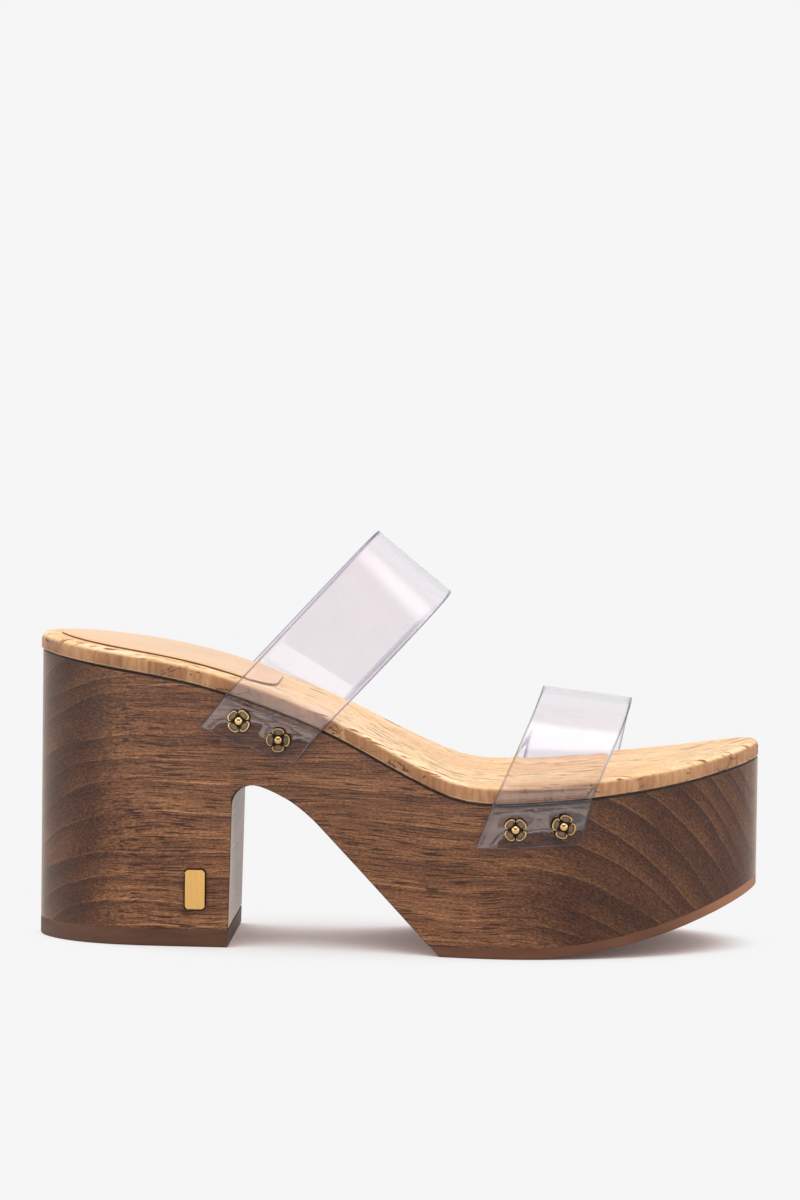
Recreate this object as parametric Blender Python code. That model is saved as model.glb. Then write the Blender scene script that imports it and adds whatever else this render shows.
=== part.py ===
"""A right-foot platform sandal: a one-piece wooden unit with a block heel, a cork-wrapped footbed
and two clear straps held by flower-headed nails.

+X runs from heel to toe, +Y to the inner side of the foot and +Z up. The sandal stands on Z = 0
with its length centred on X = 0. Tables are in millimetres, everything else is in metres.
"""

import math

import bmesh
import bpy
import numpy as np
from mathutils import Quaternion, Vector

MM = 0.001
GAP = 0.3 * MM

# The sole, seen from above
LENGTH = 233 * MM
PLAN_STATIONS = 60
PLAN = (
    # along, outer side, inner side
    (-116.5, 0.0, 0.0),
    (-112.0, -13.2, 13.2),
    (-101.0, -23.4, 23.4),
    (-85.0, -28.6, 28.6),
    (-64.0, -29.7, 29.6),
    (-35.0, -31.2, 28.6),
    (-8.0, -35.7, 30.0),
    (14.0, -41.3, 33.9),
    (34.0, -44.5, 39.4),
    (54.0, -42.8, 43.2),
    (74.0, -37.2, 42.4),
    (91.0, -28.8, 37.6),
    (104.0, -19.1, 29.6),
    (112.5, -9.0, 19.4),
    (116.5, 5.0, 5.0),
)

# The sole, seen from the side
SEAT = (
    # along, top of the wood
    (-116.5, 93.0),
    (-90.0, 89.3),
    (-65.0, 84.9),
    (-40.0, 77.4),
    (-20.0, 69.6),
    (0.0, 59.7),
    (10.0, 54.9),
    (20.0, 51.0),
    (32.0, 49.6),
    (50.0, 50.4),
    (75.0, 53.0),
    (95.0, 56.2),
    (108.0, 59.2),
    (116.5, 61.5),
)
SEAT_STEPS = 56
BREAST_FOOT = -53.1 * MM
CROWN_CENTRE = Vector((-45.4, 45.9)) * MM
CROWN_RADIUS = 6.8 * MM
CROWN_END = math.radians(72)
ARCH_RADIUS = 46.8 * MM
SLANT = math.radians(45.6)
SPRING_START = 39 * MM
SPRING_RADIUS = 163 * MM
SPRING_STEPS = 20
LIFT_THICKNESS = 5.2 * MM
OUTSOLE_THICKNESS = 3.0 * MM
CUT_MARGIN = 15 * MM
BLANK_TOP = 120 * MM
BLANK_HALF_WIDTH = 70 * MM

# The footbed's edge and the heel pad's edge, from the bottom up
FOOTBED_EDGE = (
    # set in from the sole's outline, above the wood
    (0.0, 0.3),
    (0.0, 3.4),
    (0.4, 4.6),
    (1.1, 5.4),
    (2.2, 5.9),
    (3.6, 6.0),
)
FOOTBED_THICKNESS = FOOTBED_EDGE[-1][1] * MM
PAD_EDGE = (
    # set in from the sole's outline, above the footbed
    (6.2, 0.3),
    (6.2, 0.55),
    (6.6, 0.8),
    (9.5, 0.9),
    (16.0, 1.0),
)
PAD_FRONT = -39 * MM
PAD_TONGUE = (54 * MM, 27 * MM)
PAD_TONGUE_SQUARENESS = 5
PAD_TONGUE_SEGMENTS = 96

# The straps
STRAP_THICKNESS = 1.3 * MM
STRAP_FULLNESS = 2.5
STRAP_COLUMNS = 8
TAB_ROWS = 3
ARCH_ROWS = 32
STRAPS = {
    # line across the strap: back edge along and up, front edge along and up
    "instep": {
        "tab end": (-62.9, 71.1, -32.1, 60.1),
        "crease": (-54.4, 82.1, -23.2, 71.0),
        "apex": (-8.4, 132.3, 15.6, 112.8),
        "inner side forward": 0.0,
    },
    "toe": {
        "tab end": (27.2, 35.1, 60.5, 37.2),
        "crease": (32.4, 49.7, 63.9, 51.8),
        "apex": (46.1, 81.7, 75.1, 78.0),
        "inner side forward": 5.4,
    },
}

# The nail heads
STUD_SEGMENTS = 24
PETAL_REACH = 4.1 * MM
PETAL_NOTCH = 0.85 * MM
PETAL_BROADNESS = 4
STUD_RINGS = (
    # share of the petal outline, height
    (0.95, 0.0),
    (1.0, 0.9),
    (0.96, 1.3),
    (0.89, 1.25),
    (0.83, 0.85),
)
BALL_RINGS = (
    # radius, height
    (1.5, 0.75),
    (1.15, 1.6),
)
BALL_TOP = 2.1 * MM
STUDS = (
    # strap, place, along, up, turned in degrees
    ("instep", "back", -50.0, 73.7, 50),
    ("instep", "front", -37.0, 67.9, 0),
    ("toe", "back", 39.8, 42.0, 45),
    ("toe", "front", 54.7, 43.1, -17),
)

# The plate on the heel
PLATE_CENTRE = (-63.8 * MM, 18.6 * MM)
PLATE_WIDTH = 7.2 * MM
PLATE_HEIGHT = 13.6 * MM
PLATE_THICKNESS = 0.9 * MM
PLATE_CORNER = 1.6 * MM
PLATE_CORNER_SEGMENTS = 4


def smooth_curve(points):
    """A function through (at, value) points with no kinks: a natural cubic spline."""
    ats, values = np.array(points).T
    widths = np.diff(ats)
    rises = np.diff(values) / widths
    system = np.eye(len(ats))
    turns = np.zeros(len(ats))
    for i in range(1, len(ats) - 1):
        system[i, i - 1 : i + 2] = widths[i - 1], 2 * (widths[i - 1] + widths[i]), widths[i]
        turns[i] = 6 * (rises[i] - rises[i - 1])
    bends = np.linalg.solve(system, turns)

    def value(at):
        i = int(np.clip(np.searchsorted(ats, at) - 1, 0, len(widths) - 1))
        width = widths[i]
        to_next = ats[i + 1] - at
        past = at - ats[i]
        bend = bends[i] * (to_next**3 - width**2 * to_next) + bends[i + 1] * (past**3 - width**2 * past)
        return float((values[i] * to_next + values[i + 1] * past + bend / 6) / width)

    return value


def sweep_angle(along):
    """0 at the back of the heel and pi at the toe's tip, so that both ends come out round."""
    return math.acos(max(-1.0, min(1.0, -along / (LENGTH / 2))))


outer_by_angle = smooth_curve([(sweep_angle(x * MM), outer * MM) for x, outer, _ in PLAN])
inner_by_angle = smooth_curve([(sweep_angle(x * MM), inner * MM) for x, _, inner in PLAN])
seat_height = smooth_curve([(x * MM, z * MM) for x, z in SEAT])


def wall(along, side):
    """The sole's edge at a place along it, on the outer side (-1) or the inner side (1)."""
    by_angle = outer_by_angle if side < 0 else inner_by_angle
    return by_angle(sweep_angle(along))


def wall_normal(along, side):
    step = 1 * MM
    slope = (wall(along + step, side) - wall(along - step, side)) / (2 * step)
    return Vector((-slope * side, side, 0)).normalized()


def plan_point(index):
    """Point of the sole's outline: 0 is the heel's back, and the outer side comes first."""
    around = index / PLAN_STATIONS * math.pi
    if around <= math.pi:
        return Vector((-LENGTH / 2 * math.cos(around), outer_by_angle(around)))
    back = 2 * math.pi - around
    return Vector((-LENGTH / 2 * math.cos(back), inner_by_angle(back)))


def plan_outline(inset=0.0):
    """The sole's outline from above, counterclockwise, set in by a distance."""
    count = 2 * PLAN_STATIONS
    points = [plan_point(i) for i in range(count)]
    outline = []
    for i, point in enumerate(points):
        along = (points[(i + 1) % count] - points[i - 1]).normalized()
        outline.append(point + Vector((-along.y, along.x)) * inset)
    return outline


def spring(along):
    """Height of the forefoot's underside: flat under the ball, then an arc up to the toe."""
    past = max(0.0, along - SPRING_START)
    return SPRING_RADIUS - math.sqrt(SPRING_RADIUS**2 - past**2)


def arc(centre, radius, start, end, steps):
    angles = [start + (end - start) * i / steps for i in range(steps + 1)]
    return [centre + radius * Vector((math.cos(a), math.sin(a))) for a in angles]


def breast(up):
    """The heel's front face leans forward a little on its way up."""
    top = CROWN_CENTRE.x - CROWN_RADIUS
    return BREAST_FOOT + (top - BREAST_FOOT) * up / CROWN_CENTRE.y


def arch_curve():
    """The tight crown behind the arch and the long curve that follows, ending on the slant."""
    turned = Vector((math.cos(CROWN_END), math.sin(CROWN_END)))
    arch_centre = CROWN_CENTRE + (CROWN_RADIUS - ARCH_RADIUS) * turned
    crown = arc(CROWN_CENTRE, CROWN_RADIUS, math.pi, CROWN_END, 8)
    return crown + arc(arch_centre, ARCH_RADIUS, CROWN_END, math.pi / 2 - SLANT, 8)[1:]


def slant(up):
    """Where the straight underside in front of the arch is at a height."""
    end = arch_curve()[-1]
    return end.x + (end.y - up) / math.tan(SLANT)


def forefoot_line(above, start):
    """Side view of the toe spring, at a height above its underside, from a start to past the toe."""
    end = LENGTH / 2 + CUT_MARGIN
    flat_end = SPRING_START
    alongs = [start]
    for i in range(SPRING_STEPS + 1):
        alongs.append(flat_end + (end - flat_end) * i / SPRING_STEPS)
    return [Vector((x, spring(x) + above)) for x in alongs]


def material(name, colour, roughness, metallic=0.0, alpha=1.0):
    made = bpy.data.materials.new(name)
    made.use_nodes = True
    made.diffuse_color = (*colour, alpha)
    shader = made.node_tree.nodes["Principled BSDF"]
    shader.inputs["Base Color"].default_value = (*colour, 1)
    shader.inputs["Roughness"].default_value = roughness
    shader.inputs["Metallic"].default_value = metallic
    shader.inputs["Alpha"].default_value = alpha
    return made


def add_object(name, mesh, finish=None):
    obj = bpy.data.objects.new(name, mesh)
    bpy.context.scene.collection.objects.link(obj)
    if finish and not mesh.materials:
        mesh.materials.append(finish)
    return obj


def mesh_from(name, bm, sharp=math.radians(35)):
    mesh = bpy.data.meshes.new(name)
    bm.to_mesh(mesh)
    bm.free()
    mesh.shade_smooth()
    mesh.set_sharp_from_angle(angle=sharp)
    return mesh


def prism(name, loop, along):
    """A closed block: a loop of corners pushed along a vector."""
    bm = bmesh.new()
    face = bm.faces.new([bm.verts.new(corner) for corner in loop])
    pushed = bmesh.ops.extrude_face_region(bm, geom=[face])["geom"]
    moved = [part for part in pushed if isinstance(part, bmesh.types.BMVert)]
    bmesh.ops.translate(bm, verts=moved, vec=along)
    bmesh.ops.recalc_face_normals(bm, faces=bm.faces)
    return mesh_from(name, bm)


def keep_inside(obj, cutter):
    """Cuts an object to what lies inside a cutter, which is then left out of the sandal."""
    cutter.hide_render = True
    cutter.display_type = "WIRE"
    cut = obj.modifiers.new("cut to shape", "BOOLEAN")
    cut.operation = "INTERSECT"
    cut.object = cutter


def sole_block(name, finish):
    """A blank sawn to the sole's outline, with upright walls."""
    loop = [Vector((p.x, p.y, -CUT_MARGIN)) for p in plan_outline()]
    return add_object(name, prism(name, loop, Vector((0, 0, BLANK_TOP + CUT_MARGIN))), finish)


def cut_to_profile(obj, profile):
    """Saws a sole block along a side-view profile, straight across the foot."""
    loop = [Vector((p.x, -BLANK_HALF_WIDTH, p.y)) for p in profile]
    side = prism(obj.name + "_profile", loop, Vector((0, 2 * BLANK_HALF_WIDTH, 0)))
    keep_inside(obj, add_object(obj.name + "_profile", side))


def build_platform(finish):
    back = -LENGTH / 2 - CUT_MARGIN
    heel_bottom = LIFT_THICKNESS + GAP
    toe_bottom = OUTSOLE_THICKNESS + GAP
    profile = [Vector((back, heel_bottom)), Vector((breast(heel_bottom), heel_bottom))]
    profile += arch_curve()
    profile += forefoot_line(toe_bottom, slant(toe_bottom))
    front = LENGTH / 2 + CUT_MARGIN
    for i in range(SEAT_STEPS + 1):
        along = front + (back - front) * i / SEAT_STEPS
        profile.append(Vector((along, seat_height(along))))
    cut_to_profile(sole_block("platform", finish), profile)


def build_heel_lift(finish):
    back = -LENGTH / 2 - CUT_MARGIN
    top = LIFT_THICKNESS
    corners = ((back, 0), (breast(0), 0), (breast(top), top), (back, top))
    cut_to_profile(sole_block("heel_lift", finish), [Vector(c) for c in corners])


def build_forefoot_outsole(finish):
    underside = forefoot_line(0, slant(0))
    upper_side = forefoot_line(OUTSOLE_THICKNESS, slant(OUTSOLE_THICKNESS))
    cut_to_profile(sole_block("forefoot_outsole", finish), underside + upper_side[::-1])


def layer(name, edge, base):
    """A slab that follows the seat: rings of its edge, closed by straight strips across the foot."""
    bm = bmesh.new()
    rings = []
    for inset, above in edge:
        ring = []
        for p in plan_outline(inset * MM):
            ring.append(bm.verts.new((p.x, p.y, seat_height(p.x) + base + above * MM)))
        rings.append(ring)
    count = len(rings[0])
    for low, high in zip(rings, rings[1:]):
        for i in range(count):
            j = (i + 1) % count
            bm.faces.new((low[i], low[j], high[j], high[i]))
    for ring in (rings[0], rings[-1]):
        for i in range(count // 2):
            opposite = (ring[i], ring[i + 1], ring[count - i - 1], ring[-i])
            bm.faces.new(dict.fromkeys(opposite))
    bmesh.ops.recalc_face_normals(bm, faces=bm.faces)
    return mesh_from(name, bm)


def build_footbed(finish):
    add_object("footbed", layer("footbed", FOOTBED_EDGE, 0.0), finish)


def build_heel_pad(finish):
    """The pad keeps the heel's outline at the back and ends under the strap in a rounded tongue."""
    pad = add_object("heel_pad", layer("heel_pad", PAD_EDGE, FOOTBED_THICKNESS), finish)
    half_length, half_width = PAD_TONGUE
    power = 2 / PAD_TONGUE_SQUARENESS
    loop = []
    for i in range(PAD_TONGUE_SEGMENTS):
        turn = 2 * math.pi * i / PAD_TONGUE_SEGMENTS
        reach = math.copysign(abs(math.cos(turn)) ** power, math.cos(turn))
        spread = math.copysign(abs(math.sin(turn)) ** power, math.sin(turn))
        loop.append(Vector((PAD_FRONT + half_length * (reach - 1), half_width * spread, 0)))
    tongue = prism("heel_pad_tongue", loop, Vector((0, 0, BLANK_TOP)))
    keep_inside(pad, add_object("heel_pad_tongue", tongue))


def strap_rows():
    """Rows across a strap from the outer tab's end to the inner's: (side, share of tab, turn)."""
    tab = [(TAB_ROWS - i) / TAB_ROWS for i in range(TAB_ROWS)]
    rows = [(-1, share, 0.0) for share in tab]
    rows += [(0, 0.0, math.pi * i / ARCH_ROWS) for i in range(ARCH_ROWS + 1)]
    return rows + [(1, share, math.pi) for share in reversed(tab)]


def strap_point(lines, row, across):
    """A point of a strap's inner face: flat on the wood along the tabs, then one arch over the foot."""
    side, tab_share, turn = row
    power = 2 / STRAP_FULLNESS
    rise = max(0.0, math.sin(turn)) ** power
    reach = math.copysign(abs(math.cos(turn)) ** power, math.cos(turn))
    crease, apex, end = (
        Vector(lines[place][:2]).lerp(Vector(lines[place][2:]), across) * MM
        for place in ("crease", "apex", "tab end")
    )
    place = crease.lerp(apex, rise) + (end - crease) * tab_share
    inner_share = (1 - reach) / 2
    along = place.x + lines["inner side forward"] * MM * inner_share * (1 - rise)
    outer_edge = wall(along, -1) - GAP
    inner_edge = wall(along, 1) + GAP
    return Vector((along, outer_edge + (inner_edge - outer_edge) * inner_share, place.y))


def build_strap(name, lines, finish):
    bm = bmesh.new()
    grid = []
    for row in strap_rows():
        points = [strap_point(lines, row, i / STRAP_COLUMNS) for i in range(STRAP_COLUMNS + 1)]
        grid.append([bm.verts.new(point) for point in points])
    for low, high in zip(grid, grid[1:]):
        for i in range(STRAP_COLUMNS):
            bm.faces.new((low[i], low[i + 1], high[i + 1], high[i]))
    strap = add_object(name, mesh_from(name, bm), finish)
    wall_thickness = strap.modifiers.new("sheet thickness", "SOLIDIFY")
    wall_thickness.thickness = STRAP_THICKNESS
    wall_thickness.offset = 1
    wall_thickness.use_even_offset = True


def petal_outline(angle):
    """Radius of four broad petals, rounded off towards the notches between them."""
    quarter = math.pi / 2
    off_centre = abs(angle - round(angle / quarter) * quarter) / (quarter / 2)
    return PETAL_REACH - PETAL_NOTCH * off_centre**PETAL_BROADNESS


def stud_mesh(finish):
    """A flower pressed from sheet: raised rims, sunken petals and a ball in the middle."""
    bm = bmesh.new()
    angles = [2 * math.pi * i / STUD_SEGMENTS for i in range(STUD_SEGMENTS)]
    rings = []
    for share, height in STUD_RINGS:
        rings.append([(share * petal_outline(a), height * MM) for a in angles])
    for radius, height in BALL_RINGS:
        rings.append([(radius * MM, height * MM)] * STUD_SEGMENTS)
    grid = []
    for ring in rings:
        points = zip(angles, ring)
        grid.append([bm.verts.new((r * math.cos(a), r * math.sin(a), z)) for a, (r, z) in points])
    for low, high in zip(grid, grid[1:]):
        for i in range(STUD_SEGMENTS):
            j = (i + 1) % STUD_SEGMENTS
            bm.faces.new((low[i], low[j], high[j], high[i]))
    bm.faces.new(grid[0])
    top = bm.verts.new((0, 0, BALL_TOP))
    for i in range(STUD_SEGMENTS):
        bm.faces.new((grid[-1][i], grid[-1][(i + 1) % STUD_SEGMENTS], top))
    bmesh.ops.recalc_face_normals(bm, faces=bm.faces)
    mesh = mesh_from("stud", bm)
    mesh.materials.append(finish)
    return mesh


def stand_out(obj, along, up, side, off_wood, turn):
    """Sets an object on the sole's wall with its own +Z pointing out of the wood."""
    out = wall_normal(along, side)
    obj.location = Vector((along, wall(along, side), up)) + out * off_wood
    obj.rotation_mode = "QUATERNION"
    obj.rotation_quaternion = out.to_track_quat("Z", "Y") @ Quaternion((0, 0, 1), turn)


def build_studs(finish):
    mesh = stud_mesh(finish)
    on_tab = GAP + STRAP_THICKNESS + GAP
    for strap, place, along, up, turned in STUDS:
        for side, side_name in ((-1, "outer"), (1, "inner")):
            shift = STRAPS[strap]["inner side forward"] if side > 0 else 0.0
            stud = add_object(f"stud_{strap}_{side_name}_{place}", mesh)
            stand_out(stud, (along + shift) * MM, up * MM, side, on_tab, math.radians(turned))


def build_heel_plate(finish):
    bm = bmesh.new()
    bmesh.ops.create_cube(bm, size=1)
    bmesh.ops.scale(bm, verts=bm.verts, vec=(PLATE_WIDTH, PLATE_HEIGHT, PLATE_THICKNESS))
    bmesh.ops.translate(bm, verts=bm.verts, vec=(0, 0, PLATE_THICKNESS / 2))
    upright = [e for e in bm.edges if abs(e.verts[0].co.z - e.verts[1].co.z) > PLATE_THICKNESS / 2]
    bmesh.ops.bevel(
        bm,
        geom=upright,
        offset=PLATE_CORNER,
        segments=PLATE_CORNER_SEGMENTS,
        profile=0.5,
        affect="EDGES",
        material=-1,
    )
    plate = add_object("heel_plate", mesh_from("heel_plate", bm), finish)
    stand_out(plate, *PLATE_CENTRE, -1, GAP, 0.0)


def main():
    for obj in list(bpy.data.objects):
        bpy.data.objects.remove(obj)
    brass = material("antiqued brass", (0.42, 0.27, 0.09), 0.35, metallic=1.0)
    clear = material("clear PVC", (0.86, 0.84, 0.90), 0.08, alpha=0.3)
    build_platform(material("stained walnut", (0.16, 0.075, 0.04), 0.5))
    build_heel_lift(material("brown rubber", (0.10, 0.05, 0.03), 0.7))
    build_forefoot_outsole(material("tan rubber", (0.20, 0.10, 0.055), 0.7))
    build_footbed(material("cork", (0.70, 0.43, 0.21), 0.7))
    build_heel_pad(material("peach leather", (0.83, 0.53, 0.32), 0.5))
    for strap, lines in STRAPS.items():
        build_strap(f"{strap}_strap", lines, clear)
    build_studs(brass)
    build_heel_plate(material("gold plate", (0.85, 0.55, 0.18), 0.25, metallic=1.0))


main()
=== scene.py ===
import math

import bmesh
import bpy
import numpy as np
from mathutils import Matrix, Quaternion, Vector
from mathutils.bvhtree import BVHTree


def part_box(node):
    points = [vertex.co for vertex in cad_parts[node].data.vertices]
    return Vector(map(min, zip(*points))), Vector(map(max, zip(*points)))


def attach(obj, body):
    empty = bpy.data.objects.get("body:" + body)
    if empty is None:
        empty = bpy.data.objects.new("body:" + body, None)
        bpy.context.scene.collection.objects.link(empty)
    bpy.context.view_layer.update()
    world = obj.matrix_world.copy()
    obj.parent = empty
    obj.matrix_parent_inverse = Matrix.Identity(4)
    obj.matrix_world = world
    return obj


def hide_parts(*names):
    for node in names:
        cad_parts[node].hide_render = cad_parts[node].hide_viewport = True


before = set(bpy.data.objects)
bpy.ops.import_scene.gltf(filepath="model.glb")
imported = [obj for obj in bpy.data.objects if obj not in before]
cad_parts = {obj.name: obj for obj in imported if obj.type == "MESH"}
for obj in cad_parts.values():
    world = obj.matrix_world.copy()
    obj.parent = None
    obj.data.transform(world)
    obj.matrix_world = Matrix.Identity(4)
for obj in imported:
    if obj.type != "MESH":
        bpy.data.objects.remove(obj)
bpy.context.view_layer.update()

# The view: a long lens at the sole's outer side, a little above it and turned a little to the toe.
# The camera is rolled slightly, as the photograph is. Lengths are in metres where MM stands beside
# them and otherwise in millimetres, up to the stage.
MM = 0.001
CAMERA_PLACE = Vector((125.6, -2396.7, 337.3)) * MM
CAMERA_AIM = Vector((-0.45, 0.0, 110.6)) * MM
CAMERA_ROLL = math.radians(0.75)
CAMERA_LENS = 222.7

camera_data = bpy.data.cameras.new("camera")
camera_data.lens = CAMERA_LENS
camera = bpy.data.objects.new("camera", camera_data)
camera.location = CAMERA_PLACE
camera.rotation_mode = "QUATERNION"
camera.rotation_quaternion = (CAMERA_AIM - CAMERA_PLACE).to_track_quat("-Z", "Y")
camera.rotation_quaternion @= Quaternion((0, 0, 1), CAMERA_ROLL)
bpy.context.scene.collection.objects.link(camera)
bpy.context.scene.camera = camera

# The platform: one block of wood, sawn to the foot's outline, with the arch cut out under the waist.
# It is stained walnut brown and has a thin satin lacquer. Its edges are only just broken and a little
# darker with stain. Under the cork they are rounded more, and that groove is painted near black as shadow.
WOOD_EDGE = 0.35 * MM
WOOD_EDGE_FACE = WOOD_EDGE / 1.5
WOOD_GROOVE = 0.7 * MM
WOOD_GROOVE_FACE = WOOD_GROOVE / 2
WOOD_MERGE = 0.3 * MM
WOOD_TOP_EDGE = 0.1
JOINT = 0.4 * MM
SMOOTH_UP_TO = math.radians(43)
SAME_POINT = 0.01 * MM
SAME_STATION = 0.02
SAME_PLANE = math.radians(0.2)
SLIVER = 0.05 * MM
EDGE_STAIN = 0.6
FLAT_SIDE = (-64.0, 34.0)
GRAIN_BLEND = 6.0


def node_shape(node, merge=SAME_POINT):
    """A copy of a CAD node with its triangles joined into clean faces."""
    bm = bmesh.new()
    bm.from_mesh(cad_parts[node].data)
    bmesh.ops.remove_doubles(bm, verts=bm.verts, dist=merge)
    bmesh.ops.dissolve_degenerate(bm, dist=SLIVER, edges=bm.edges)
    bmesh.ops.dissolve_limit(bm, angle_limit=SAME_PLANE, verts=bm.verts, edges=bm.edges)
    bm.normal_update()
    return bm


def sharp_edges(bm, angle=SMOOTH_UP_TO):
    """The edges where two faces meet sharply."""
    return [e for e in bm.edges if e.is_manifold and e.calc_face_angle() > angle]


def inner_points(bm, width):
    """The points between two narrow faces, such as those within a rounded edge."""
    narrow = {f: f.calc_area() < width * max(e.calc_length() for e in f.edges) for f in bm.faces}
    return [v for v in bm.verts if all(narrow[f] for f in v.link_faces)]


def round_off(bm, edges, width, segments=3):
    """Rounds edges to a quarter circle."""
    bmesh.ops.bevel(
        bm,
        geom=edges,
        offset=width,
        affect="EDGES",
        segments=segments,
        profile=0.5,
        material=-1,
    )
    bm.normal_update()


def make_piece(name, bm, material, slot, *nodes):
    """Turns a bmesh into a piece of the sandal that stands for CAD nodes."""
    mesh = bpy.data.meshes.new(name)
    bm.to_mesh(mesh)
    bm.free()
    # The import's own normals do not fit the new faces.
    if "custom_normal" in mesh.attributes:
        mesh.attributes.remove(mesh.attributes["custom_normal"])
    mesh.shade_smooth()
    mesh.set_sharp_from_angle(angle=SMOOTH_UP_TO)
    mesh.materials.append(material)
    piece = bpy.data.objects.new(name, mesh)
    bpy.context.scene.collection.objects.link(piece)
    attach(piece, "root")
    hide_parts(*nodes)
    return piece


def shade_by_walls(piece):
    """Lets the broad walls set the shading where they meet narrow rounded edges."""
    shading = piece.modifiers.new("walls first", "WEIGHTED_NORMAL")
    shading.mode = "FACE_AREA_WITH_ANGLE"
    shading.keep_sharp = True


def points_of(mesh):
    """A mesh's points in millimetres."""
    return np.array([v.co for v in mesh.vertices]) / MM


def store(mesh, name, values):
    """Keeps a number for each point, for a material to read."""
    attribute = mesh.attributes.new(name, "FLOAT", "POINT")
    attribute.data.foreach_set("value", np.array(values, np.float32))


def linear(colour):
    """An sRGB hex colour as linear red, green, blue and alpha."""
    shares = [int(colour[i : i + 2], 16) / 255 for i in (1, 3, 5)]
    return [s / 12.92 if s <= 0.04045 else ((s + 0.055) / 1.055) ** 2.4 for s in shares] + [1.0]


def set_inputs(node, inputs):
    """Gives each input its value, or links it to the node or socket that feeds it."""
    for name, value in inputs.items():
        if isinstance(value, bpy.types.Node):
            value = value.outputs[0]
        if isinstance(value, bpy.types.NodeSocket):
            node.id_data.links.new(value, node.inputs[name])
        else:
            node.inputs[name].default_value = linear(value) if isinstance(value, str) else value


def add_node(owner, kind, inputs=None, stops=(), **settings):
    """Adds a node with its settings and inputs; stops are a colour ramp's places and colours."""
    node = owner.node_tree.nodes.new(kind)
    for name, value in settings.items():
        setattr(node, name, value)
    for i, (place, colour) in enumerate(stops):
        element = node.color_ramp.elements[i] if i < 2 else node.color_ramp.elements.new(place)
        element.position = place
        element.color = linear(colour) if isinstance(colour, str) else (colour, colour, colour, 1.0)
    set_inputs(node, inputs or {})
    return node


def cells(*sizes):
    """The Mapping scale that makes a pattern's cells these sizes."""
    return tuple(1 / size for size in sizes)


def start_material(name):
    """A material with its shader and its Object coordinates in millimetres."""
    material = bpy.data.materials.new(name)
    material.use_nodes = True
    shader = material.node_tree.nodes["Principled BSDF"]
    place = add_node(material, "ShaderNodeTexCoord").outputs["Object"]
    in_mm = add_node(material, "ShaderNodeMapping", {"Vector": place, "Scale": cells(MM, MM, MM)})
    return material, shader, in_mm


# Walnut sawn along the grain: growth lines run level along the flat sides, dip where the walls turn to
# heel and toe, and fade in patches. Pores are short dark dashes, drawn coarser than they are so that
# they show, and end grain drinks more stain.
GROWTH_DIP = (0.6, 1.75)
GROWTH_SPACING = 9.5
GROWTH_WAVER = 4.5
GROWTH_DRIFT = 2.1
NOISE_MIDDLE = 0.5
FIBRE_SHARE = 0.35
PORE_DEPTH = 2.0
HEEL_END = (-84.0, -100.0)
TOE_END = (30.0, 62.0)

walnut, walnut_shader, walnut_mm = start_material("stained_walnut")
along_up = add_node(walnut, "ShaderNodeSeparateXYZ", {"Vector": walnut_mm})
inward = add_node(walnut, "ShaderNodeAttribute", attribute_name="inward_mm").outputs["Fac"]
joint_shadow_and_edge_stain = add_node(walnut, "ShaderNodeAttribute", attribute_name="joint_shadow_and_edge_stain").outputs["Fac"]
dip = add_node(
    walnut,
    "ShaderNodeMapRange",
    {
        "Value": along_up.outputs["X"],
        "From Min": FLAT_SIDE[0],
        "From Max": FLAT_SIDE[1],
        "To Min": GROWTH_DIP[0],
        "To Max": GROWTH_DIP[1],
    },
)
lean = add_node(
    walnut, "ShaderNodeMath", {0: inward, 1: dip, 2: along_up.outputs["Z"]}, operation="MULTIPLY_ADD"
)
waver_place = add_node(walnut, "ShaderNodeMapping", {"Vector": walnut_mm, "Scale": cells(80, 34, 34)})
waver = add_node(walnut, "ShaderNodeTexNoise", {"Vector": waver_place, "Scale": 1.0, "Detail": 2.0})
growth = add_node(
    walnut, "ShaderNodeMath", {0: waver, 1: 2 * GROWTH_WAVER, 2: lean}, operation="MULTIPLY_ADD"
)
grain = add_node(
    walnut, "ShaderNodeCombineXYZ", {"X": along_up.outputs["X"], "Y": growth, "Z": inward}
)
year_place = add_node(walnut, "ShaderNodeMapping", {"Vector": grain, "Scale": cells(500, 20, 90)})
year_drift = add_node(walnut, "ShaderNodeTexNoise", {"Vector": year_place, "Scale": 1.0})
year_even = add_node(walnut, "ShaderNodeMath", {0: growth, 1: 1 / GROWTH_SPACING}, operation="MULTIPLY")
year_count = add_node(
    walnut, "ShaderNodeMath", {0: year_drift, 1: GROWTH_DRIFT, 2: year_even}, operation="MULTIPLY_ADD"
)
year_share = add_node(walnut, "ShaderNodeMath", {0: year_count}, operation="FRACT")
ring = add_node(
    walnut,
    "ShaderNodeValToRGB",
    {"Fac": year_share},
    stops=((0.0, 0.95), (1.0, 0.95), (0.04, 0.5), (0.3, 0.45), (0.65, 0.26), (0.9, 0.06), (0.96, 0.14)),
)
wood_normal = add_node(walnut, "ShaderNodeNewGeometry").outputs["Normal"]
facing = add_node(walnut, "ShaderNodeSeparateXYZ", {"Vector": wood_normal})
endwise = add_node(walnut, "ShaderNodeMath", {0: facing.outputs["X"]}, operation="ABSOLUTE")
sawn_across = add_node(walnut, "ShaderNodeMapRange", {"Value": endwise, "From Min": 0.5, "From Max": 0.8})
heel_end = add_node(
    walnut,
    "ShaderNodeMapRange",
    {"Value": along_up.outputs["X"], "From Min": HEEL_END[0], "From Max": HEEL_END[1]},
    interpolation_type="SMOOTHSTEP",
)
toe_end = add_node(
    walnut,
    "ShaderNodeMapRange",
    {"Value": along_up.outputs["X"], "From Min": TOE_END[0], "From Max": TOE_END[1]},
    interpolation_type="SMOOTHSTEP",
)
either_end = add_node(walnut, "ShaderNodeMath", {0: heel_end, 1: toe_end}, operation="MAXIMUM")
end_grain = add_node(walnut, "ShaderNodeMath", {0: either_end, 1: sawn_across}, operation="MAXIMUM")
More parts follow.
